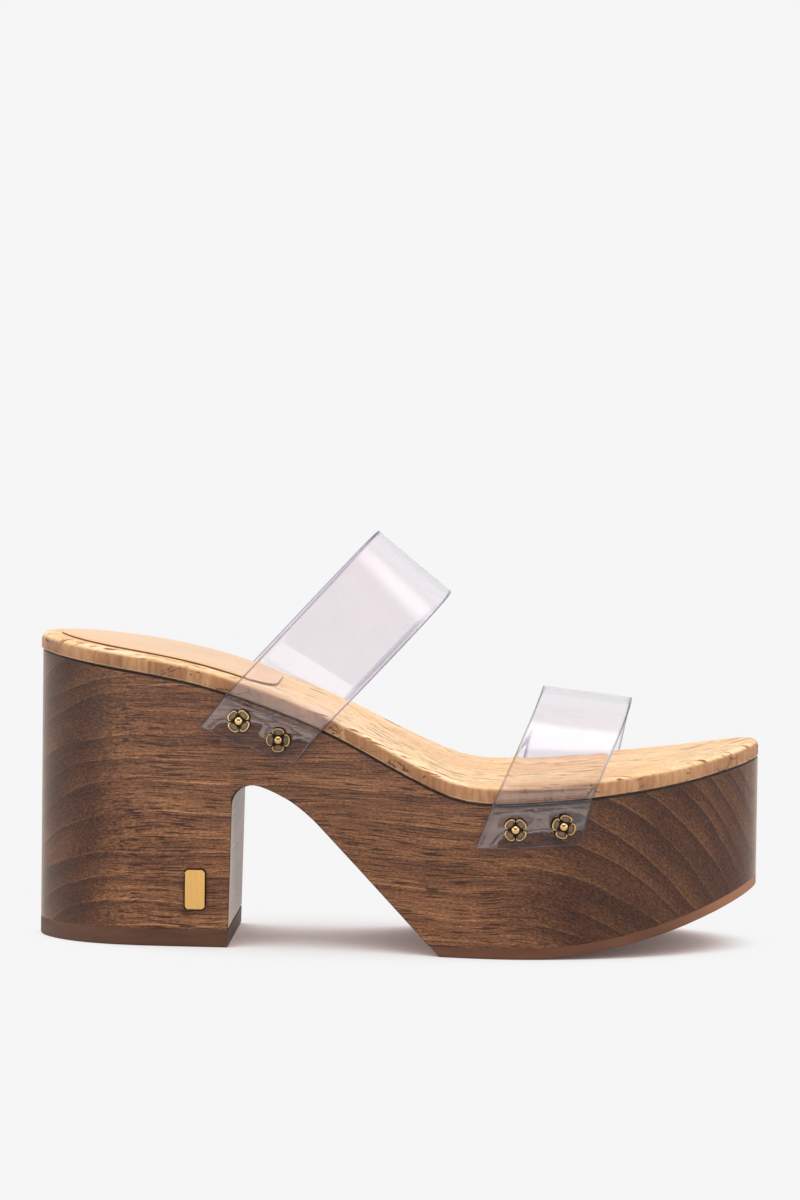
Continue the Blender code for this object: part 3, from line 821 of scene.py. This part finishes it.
# The nail heads: four-petal flowers pressed from brass sheet, with a ball nail in the middle.
# Each petal is a shallow dish with a raised rim round its outer edge.
PETAL_REACH = 4.1 * MM
PETAL_NOTCH = 0.95 * MM
PETAL_BROADNESS = 4
PETAL_ARC_POINTS = 25
PETAL_GROOVE = 0.2 * MM
PETAL_SIDE_STEPS = (0.4, 0.62, 0.74, 0.87)
PETAL_HEIGHT = 1.3 * MM
PETAL_FLOOR = 0.75 * MM
PETAL_TOP_SHARE = 0.93
PETAL_RIM = 0.38 * MM
PETAL_RIM_SLOPE = 0.12 * MM
PETAL_RIM_EDGE = 0.14 * MM
PETAL_RIM_FROM = PETAL_FLOOR + 0.1 * MM
PETAL_SHADE = 0.3 * MM
WALL_DARK_TO = 1.0 * MM
RIM_FADE = (1.9, 2.8)
BALL_RADIUS = 1.5 * MM
BALL_TOP = 2.1 * MM
# radius and height; the ball's seat is left dark, as plating and as painted shadow round the ball
BALL_SEAT = (1.75 * MM, PETAL_FLOOR + 0.06 * MM)
BASE_DISC = (PETAL_REACH * 0.78, PETAL_FLOOR / 2)
# heights, and how bright rubbing leaves them; low down the dark is plating and painted shadow
WALL_RUBBED_AND_SHADED = ((0.0, WALL_DARK_TO, PETAL_HEIGHT), (0.0, 0.1, 0.95))
BALL_RUBBED_AND_SHADED = ((0.95, 1.15), (0.1, 1.0))
FLOOR_RUBBED = 0.42
# painted shadow: the line round each dish just inside its rim
FLOOR_EDGE_SHADOW = 0.24
TARNISH_SHARE = 0.3
STUDS = {
    # how far each flower is turned, and how bright rubbing has left it
    "instep_back": (50, 1.0),
    "instep_front": (0, 0.78),
    "toe_back": (45, 0.95),
    "toe_front": (-17, 0.9),
}

# Brass, plated dark and worn back by rubbing: grey-brown in the dished petals, black in the grooves,
# and bright on the rims and the ball. Shade is painted into the same numbers too: a line round each dish
# inside its rim is painted shadow, and the feet of the petals' flanks, the ball's foot and its seat are
# dark as plating and as painted shadow.
brass, brass_shader, brass_mm = start_material("antiqued_brass")
rubbed_and_shaded = add_node(brass, "ShaderNodeAttribute", attribute_name="rubbed_and_shaded").outputs["Fac"]
tarnish_place = add_node(brass, "ShaderNodeMapping", {"Vector": brass_mm, "Scale": cells(0.6, 0.6, 0.6)})
tarnish = add_node(brass, "ShaderNodeTexNoise", {"Vector": tarnish_place, "Scale": 1.0, "Detail": 3.0})
wear_and_shade = add_node(
    brass, "ShaderNodeMath", {0: tarnish, 1: TARNISH_SHARE, 2: rubbed_and_shaded}, operation="MULTIPLY_ADD"
)
wear_and_shade_share = add_node(brass, "ShaderNodeMapRange", {"Value": wear_and_shade, "From Min": 0.15, "From Max": 1.15})
brass_colour = add_node(
    brass,
    "ShaderNodeValToRGB",
    {"Fac": wear_and_shade_share},
    stops=((0.0, "#1c140d"), (1.0, "#e6bf87"), (0.45, "#86715d"), (0.7, "#b89468")),
)
brass_roughness = add_node(
    brass, "ShaderNodeMapRange", {"Value": wear_and_shade_share, "To Min": 0.6, "To Max": 0.16}
)
set_inputs(brass_shader, {"Base Color": brass_colour, "Metallic": 1.0, "Roughness": brass_roughness})

flower = bmesh.new()
corner = Vector((PETAL_GROOVE * math.sqrt(2), 0, 0))
arc = []
for share in np.linspace(-1, 1, PETAL_ARC_POINTS):
    reach = PETAL_REACH - PETAL_NOTCH * abs(share) ** PETAL_BROADNESS
    angle = share * (math.pi / 4 - PETAL_GROOVE / reach)
    arc.append(Vector((reach * math.cos(angle), reach * math.sin(angle), 0)))
side_out = [corner.lerp(arc[0], step) for step in PETAL_SIDE_STEPS]
side_back = [corner.lerp(arc[-1], step) for step in reversed(PETAL_SIDE_STEPS)]
flower.faces.new([flower.verts.new(point) for point in (corner, *side_out, *arc, *side_back)])
raised = bmesh.ops.extrude_face_region(flower, geom=flower.faces[:])["geom"]
lifted = [part for part in raised if isinstance(part, bmesh.types.BMVert)]
bmesh.ops.translate(flower, verts=lifted, vec=(0, 0, PETAL_HEIGHT))
bmesh.ops.scale(flower, verts=lifted, vec=(PETAL_TOP_SHARE, PETAL_TOP_SHARE, 1))
bmesh.ops.recalc_face_normals(flower, faces=flower.faces[:])
dish = max(flower.faces, key=lambda f: f.calc_center_median().z)
bmesh.ops.inset_region(flower, faces=[dish], thickness=PETAL_RIM, use_even_offset=True)
bmesh.ops.inset_region(
    flower,
    faces=[dish],
    thickness=PETAL_RIM_SLOPE,
    depth=PETAL_FLOOR - PETAL_HEIGHT,
    use_even_offset=True,
)
# This ring round the dish is painted dark as the shadow inside the rim.
bmesh.ops.inset_region(flower, faces=[dish], thickness=PETAL_SHADE, use_even_offset=True)
rim_edges = [e for e in sharp_edges(flower) if min(v.co.z for v in e.verts) > PETAL_RIM_FROM]
round_off(flower, rim_edges, PETAL_RIM_EDGE)
bmesh.ops.bisect_plane(
    flower,
    geom=flower.verts[:] + flower.edges[:] + flower.faces[:],
    plane_co=(0, 0, WALL_DARK_TO),
    plane_no=(0, 0, 1),
)
# Towards the ball the rim sinks to the dish's floor.
for v in flower.verts:
    if v.co.z > PETAL_FLOOR:
        share = np.interp(v.co.xy.length / MM, RIM_FADE, (0.0, 1.0))
        v.co.z = PETAL_FLOOR + (v.co.z - PETAL_FLOOR) * float(share)
rubbed_and_shaded_layer = flower.verts.layers.float.new("rubbed_and_shaded")
# Painted shade as well as wear: the flanks' feet and the dish's border ring are darkened as shadow.
for v in flower.verts:
    if v in dish.verts:
        v[rubbed_and_shaded_layer] = FLOOR_RUBBED
    elif abs(v.co.z - PETAL_FLOOR) < SAME_POINT:
        v[rubbed_and_shaded_layer] = FLOOR_EDGE_SHADOW
    else:
        v[rubbed_and_shaded_layer] = float(np.interp(v.co.z, *WALL_RUBBED_AND_SHADED))
one_petal = flower.verts[:] + flower.edges[:] + flower.faces[:]
for quarter in (1, 2, 3):
    copied = bmesh.ops.duplicate(flower, geom=one_petal)["geom"]
    bmesh.ops.rotate(
        flower,
        verts=[part for part in copied if isinstance(part, bmesh.types.BMVert)],
        matrix=Matrix.Rotation(quarter * math.pi / 2, 3, "Z"),
    )
for radius, depth in (BALL_SEAT, BASE_DISC):
    disc = bmesh.ops.create_cone(
        flower, cap_ends=True, segments=40, radius1=radius, radius2=radius, depth=depth
    )["verts"]
    bmesh.ops.translate(flower, verts=disc, vec=(0, 0, depth / 2))
ball = bmesh.ops.create_uvsphere(flower, u_segments=28, v_segments=16, radius=BALL_RADIUS)["verts"]
bmesh.ops.translate(flower, verts=ball, vec=(0, 0, BALL_TOP - BALL_RADIUS))
for v in ball:
    v[rubbed_and_shaded_layer] = float(np.interp(v.co.z / MM, *BALL_RUBBED_AND_SHADED))

flower_mesh = bpy.data.meshes.new("flower")
rubbed_and_shaded_values = np.array([v[rubbed_and_shaded_layer] for v in flower.verts], np.float32)
flower.to_mesh(flower_mesh)
flower.free()
flower_mesh.shade_smooth()
flower_mesh.set_sharp_from_angle(angle=SMOOTH_UP_TO)
flower_mesh.materials.append(brass)

for place, (turned, brightness) in STUDS.items():
    strap_name, end = place.split("_")
    for side_name, side in (("outer", -1), ("inner", 1)):
        node = f"stud_{strap_name}_{side_name}_{end}"
        nail = points_of(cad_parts[node].data) * MM
        tip = Vector(nail[np.argmax(nail[:, 1] * side)])
        lean_x = np.polyfit(nail[:, 0], nail[:, 1], 1)[0]
        out = Vector((-lean_x * side, side, 0)).normalized()
        base = tip - out * BALL_TOP
        turn = out.to_track_quat("Z", "Y") @ Quaternion((0, 0, 1), math.radians(turned))
        mesh = flower_mesh.copy()
        mesh.transform(Matrix.LocRotScale(base, turn, None))
        mesh.attributes["rubbed_and_shaded"].data.foreach_set("value", rubbed_and_shaded_values * brightness)
        stud = bpy.data.objects.new(f"flower_{node}", mesh)
        bpy.context.scene.collection.objects.link(stud)
        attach(stud, "root")
        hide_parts(node)

# The plate: a small plain rounded plate on the outer side of the heel, pinned from behind.
# It is stamped from brass and gold plated and brushed upright on its face; a painted shadow darkens
# its edge. The brush lines are drawn coarser than they are so that they show.
PLATE_EDGE = 0.15 * MM
PLATE_EDGE_SHADOW = 0.35 * MM
PLATE_STEP = 0.08 * MM
PLATE_FACE_UPRIGHT = 0.95

gold, gold_shader, gold_mm = start_material("brushed_gold_plate")
clear_of_edge_shadow = add_node(gold, "ShaderNodeAttribute", attribute_name="clear_of_edge_shadow").outputs["Fac"]
brushing_place = add_node(gold, "ShaderNodeMapping", {"Vector": gold_mm, "Scale": cells(0.25, 0.25, 12)})
brushing = add_node(gold, "ShaderNodeTexNoise", {"Vector": brushing_place, "Scale": 1.0, "Detail": 3.0})
gold_tone = add_node(
    gold, "ShaderNodeValToRGB", {"Fac": brushing}, stops=((0.3, "#dfab62"), (0.7, "#e8ba74"))
)
# Painted shadow: the band round the face is near black.
gold_colour = add_node(
    gold, "ShaderNodeMixRGB", {"Fac": clear_of_edge_shadow, "Color1": "#2a1a0c", "Color2": gold_tone}
)
gold_roughness = add_node(gold, "ShaderNodeMapRange", {"Value": brushing, "To Min": 0.26, "To Max": 0.42})
set_inputs(gold_shader, {"Base Color": gold_colour, "Metallic": 1.0, "Roughness": gold_roughness})
plate_shape = node_shape("heel_plate")
round_off(plate_shape, sharp_edges(plate_shape), PLATE_EDGE)
# Only the face inside the painted shadow band is marked bright.
clear_of_edge_shadow_layer = plate_shape.verts.layers.float.new("clear_of_edge_shadow")
plate_face = [f for f in plate_shape.faces if f.normal.y < -PLATE_FACE_UPRIGHT]
bmesh.ops.inset_region(plate_shape, faces=plate_face, thickness=PLATE_EDGE_SHADOW, use_even_offset=True)
bmesh.ops.inset_region(plate_shape, faces=plate_face, thickness=PLATE_STEP, use_even_offset=True)
for v in {v for f in plate_face for v in f.verts}:
    v[clear_of_edge_shadow_layer] = 1.0
make_piece("gold_heel_plate", plate_shape, gold, "plate_gold", "heel_plate")

# The stage: a wide pale floor that glows evenly and has its shadow painted where the sandal hems it
# in, even white light, a soft light from the front and above and low light from both sides. Mirrored in
# metal and clear sheet the room is bright overhead and dim in front, where a low soft box stands and a
# pale card lies on the floor. Lengths here are in metres.
FLOOR_HALF = 40.0
FLOOR_DROP = 0.2 * MM
FLOOR_GLOW = 0.92
SHADOW_REACH = 0.09
SKY_DIFFUSE = 0.6
SKY_SEEN = 0.93
SKY_IN_FRONT = 0.2
SKY_OVERHEAD = 3.2
SKY_SIDES_SEEN = 2.2
SKY_SIDES_DIFFUSE = 4.6
SUN_FROM = Vector((0.1, -0.45, 1.0))
SUN_STRENGTH = 2.1
SUN_SPREAD = math.radians(50)
BOX_PLACE = Vector((-0.1, -2.2, 0.195))
BOX_SIZE = (5.0, 0.19)
BOX_POWER = 5.4
CARD_PLACE = Vector((0.0, -0.95, 0.001))
CARD_SIZE = (5.0, 1.2)
CARD_POWER = 18.0

paper, paper_shader, _ = start_material("pale_floor")
# Painted shadow: the floor only glows, and it darkens where the sandal closes in on it.
openness = add_node(
    paper, "ShaderNodeAmbientOcclusion", {"Color": (1, 1, 1, 1), "Distance": SHADOW_REACH}, samples=12
)
shade = add_node(
    paper,
    "ShaderNodeValToRGB",
    {"Fac": openness.outputs["AO"]},
    stops=(
        (0.0, "#4a3e3a"),
        (1.0, "#ffffff"),
        (0.07, "#705e59"),
        (0.15, "#978885"),
        (0.29, "#b7a39c"),
        (0.34, "#d6cbca"),
        (0.4, "#e3dad8"),
        (0.6, "#ffffff"),
    ),
)
set_inputs(
    paper_shader,
    {
        "Base Color": (0, 0, 0, 1),
        "Roughness": 1.0,
        "Specular IOR Level": 0.0,
        "Emission Color": shade,
        "Emission Strength": FLOOR_GLOW,
    },
)
floor_shape = bmesh.new()
bmesh.ops.create_grid(floor_shape, x_segments=1, y_segments=1, size=FLOOR_HALF)
bmesh.ops.translate(floor_shape, verts=floor_shape.verts, vec=(0, 0, -FLOOR_DROP))
floor_mesh = bpy.data.meshes.new("floor")
floor_shape.to_mesh(floor_mesh)
floor_shape.free()
floor_mesh.materials.append(paper)
floor = bpy.data.objects.new("floor", floor_mesh)
bpy.context.scene.collection.objects.link(floor)

world = bpy.data.worlds.new("even white light")
world.use_nodes = True
outward = add_node(world, "ShaderNodeTexCoord").outputs["Generated"]
direction = add_node(world, "ShaderNodeSeparateXYZ", {"Vector": outward})
in_front = add_node(
    world,
    "ShaderNodeMapRange",
    {
        "Value": direction.outputs["Y"],
        "From Min": -0.1,
        "From Max": -0.4,
        "To Min": SKY_SEEN,
        "To Max": SKY_IN_FRONT,
    },
    interpolation_type="SMOOTHSTEP",
)
high_up = add_node(
    world,
    "ShaderNodeMapRange",
    {"Value": direction.outputs["Z"], "From Min": 0.8, "From Max": 0.9},
    interpolation_type="SMOOTHSTEP",
)
not_behind = add_node(
    world,
    "ShaderNodeMapRange",
    {"Value": direction.outputs["Y"], "From Min": 0.35, "From Max": 0.1},
    interpolation_type="SMOOTHSTEP",
)
overhead = add_node(world, "ShaderNodeMath", {0: high_up, 1: not_behind}, operation="MULTIPLY")
seen = add_node(
    world, "ShaderNodeMix", {"Factor": overhead, "A": in_front, "B": SKY_OVERHEAD}, data_type="FLOAT"
)
ray = add_node(world, "ShaderNodeLightPath")
sideways = add_node(world, "ShaderNodeMath", {0: direction.outputs["X"]}, operation="ABSOLUTE")
at_sides = add_node(
    world,
    "ShaderNodeMapRange",
    {"Value": sideways, "From Min": 0.55, "From Max": 0.95},
    interpolation_type="SMOOTHSTEP",
)
mirrored = add_node(
    world, "ShaderNodeMath", {0: at_sides, 1: ray.outputs["Is Reflection Ray"]}, operation="MULTIPLY"
)
with_sides = add_node(
    world, "ShaderNodeMix", {"Factor": mirrored, "A": seen, "B": SKY_SIDES_SEEN}, data_type="FLOAT"
)
low_sky = add_node(
    world,
    "ShaderNodeMapRange",
    {"Value": direction.outputs["Z"], "From Min": 0.6, "From Max": 0.2},
    interpolation_type="SMOOTHSTEP",
)
low_sides = add_node(world, "ShaderNodeMath", {0: at_sides, 1: low_sky}, operation="MULTIPLY")
falling = add_node(
    world,
    "ShaderNodeMix",
    {"Factor": low_sides, "A": SKY_DIFFUSE, "B": SKY_SIDES_DIFFUSE},
    data_type="FLOAT",
)
strength = add_node(
    world,
    "ShaderNodeMix",
    {"Factor": ray.outputs["Is Diffuse Ray"], "A": with_sides, "B": falling},
    data_type="FLOAT",
)
set_inputs(world.node_tree.nodes["Background"], {"Color": (1, 1, 1, 1), "Strength": strength})
bpy.context.scene.world = world

sun_data = bpy.data.lights.new("soft front light", "SUN")
sun_data.energy = SUN_STRENGTH
sun_data.angle = SUN_SPREAD
sun = bpy.data.objects.new("soft front light", sun_data)
sun.rotation_mode = "QUATERNION"
sun.rotation_quaternion = SUN_FROM.to_track_quat("Z", "Y")
sun.visible_glossy = False
sun.visible_transmission = False
bpy.context.scene.collection.objects.link(sun)

MIRRORED_LIGHTS = (
    # name, place, size, power, the way its back points
    ("soft box", BOX_PLACE, BOX_SIZE, BOX_POWER, BOX_PLACE),
    ("card on the floor", CARD_PLACE, CARD_SIZE, CARD_POWER, Vector((0, 0, -1))),
)
for name, place, size, power, back in MIRRORED_LIGHTS:
    light_data = bpy.data.lights.new(name, "AREA")
    light_data.shape = "RECTANGLE"
    light_data.size, light_data.size_y = size
    light_data.energy = power
    light = bpy.data.objects.new(name, light_data)
    light.location = place
    light.rotation_mode = "QUATERNION"
    light.rotation_quaternion = back.to_track_quat("Z", "Y")
    light.visible_diffuse = False
    light.visible_camera = False
    bpy.context.scene.collection.objects.link(light)

bpy.context.scene.view_settings.view_transform = "Standard"
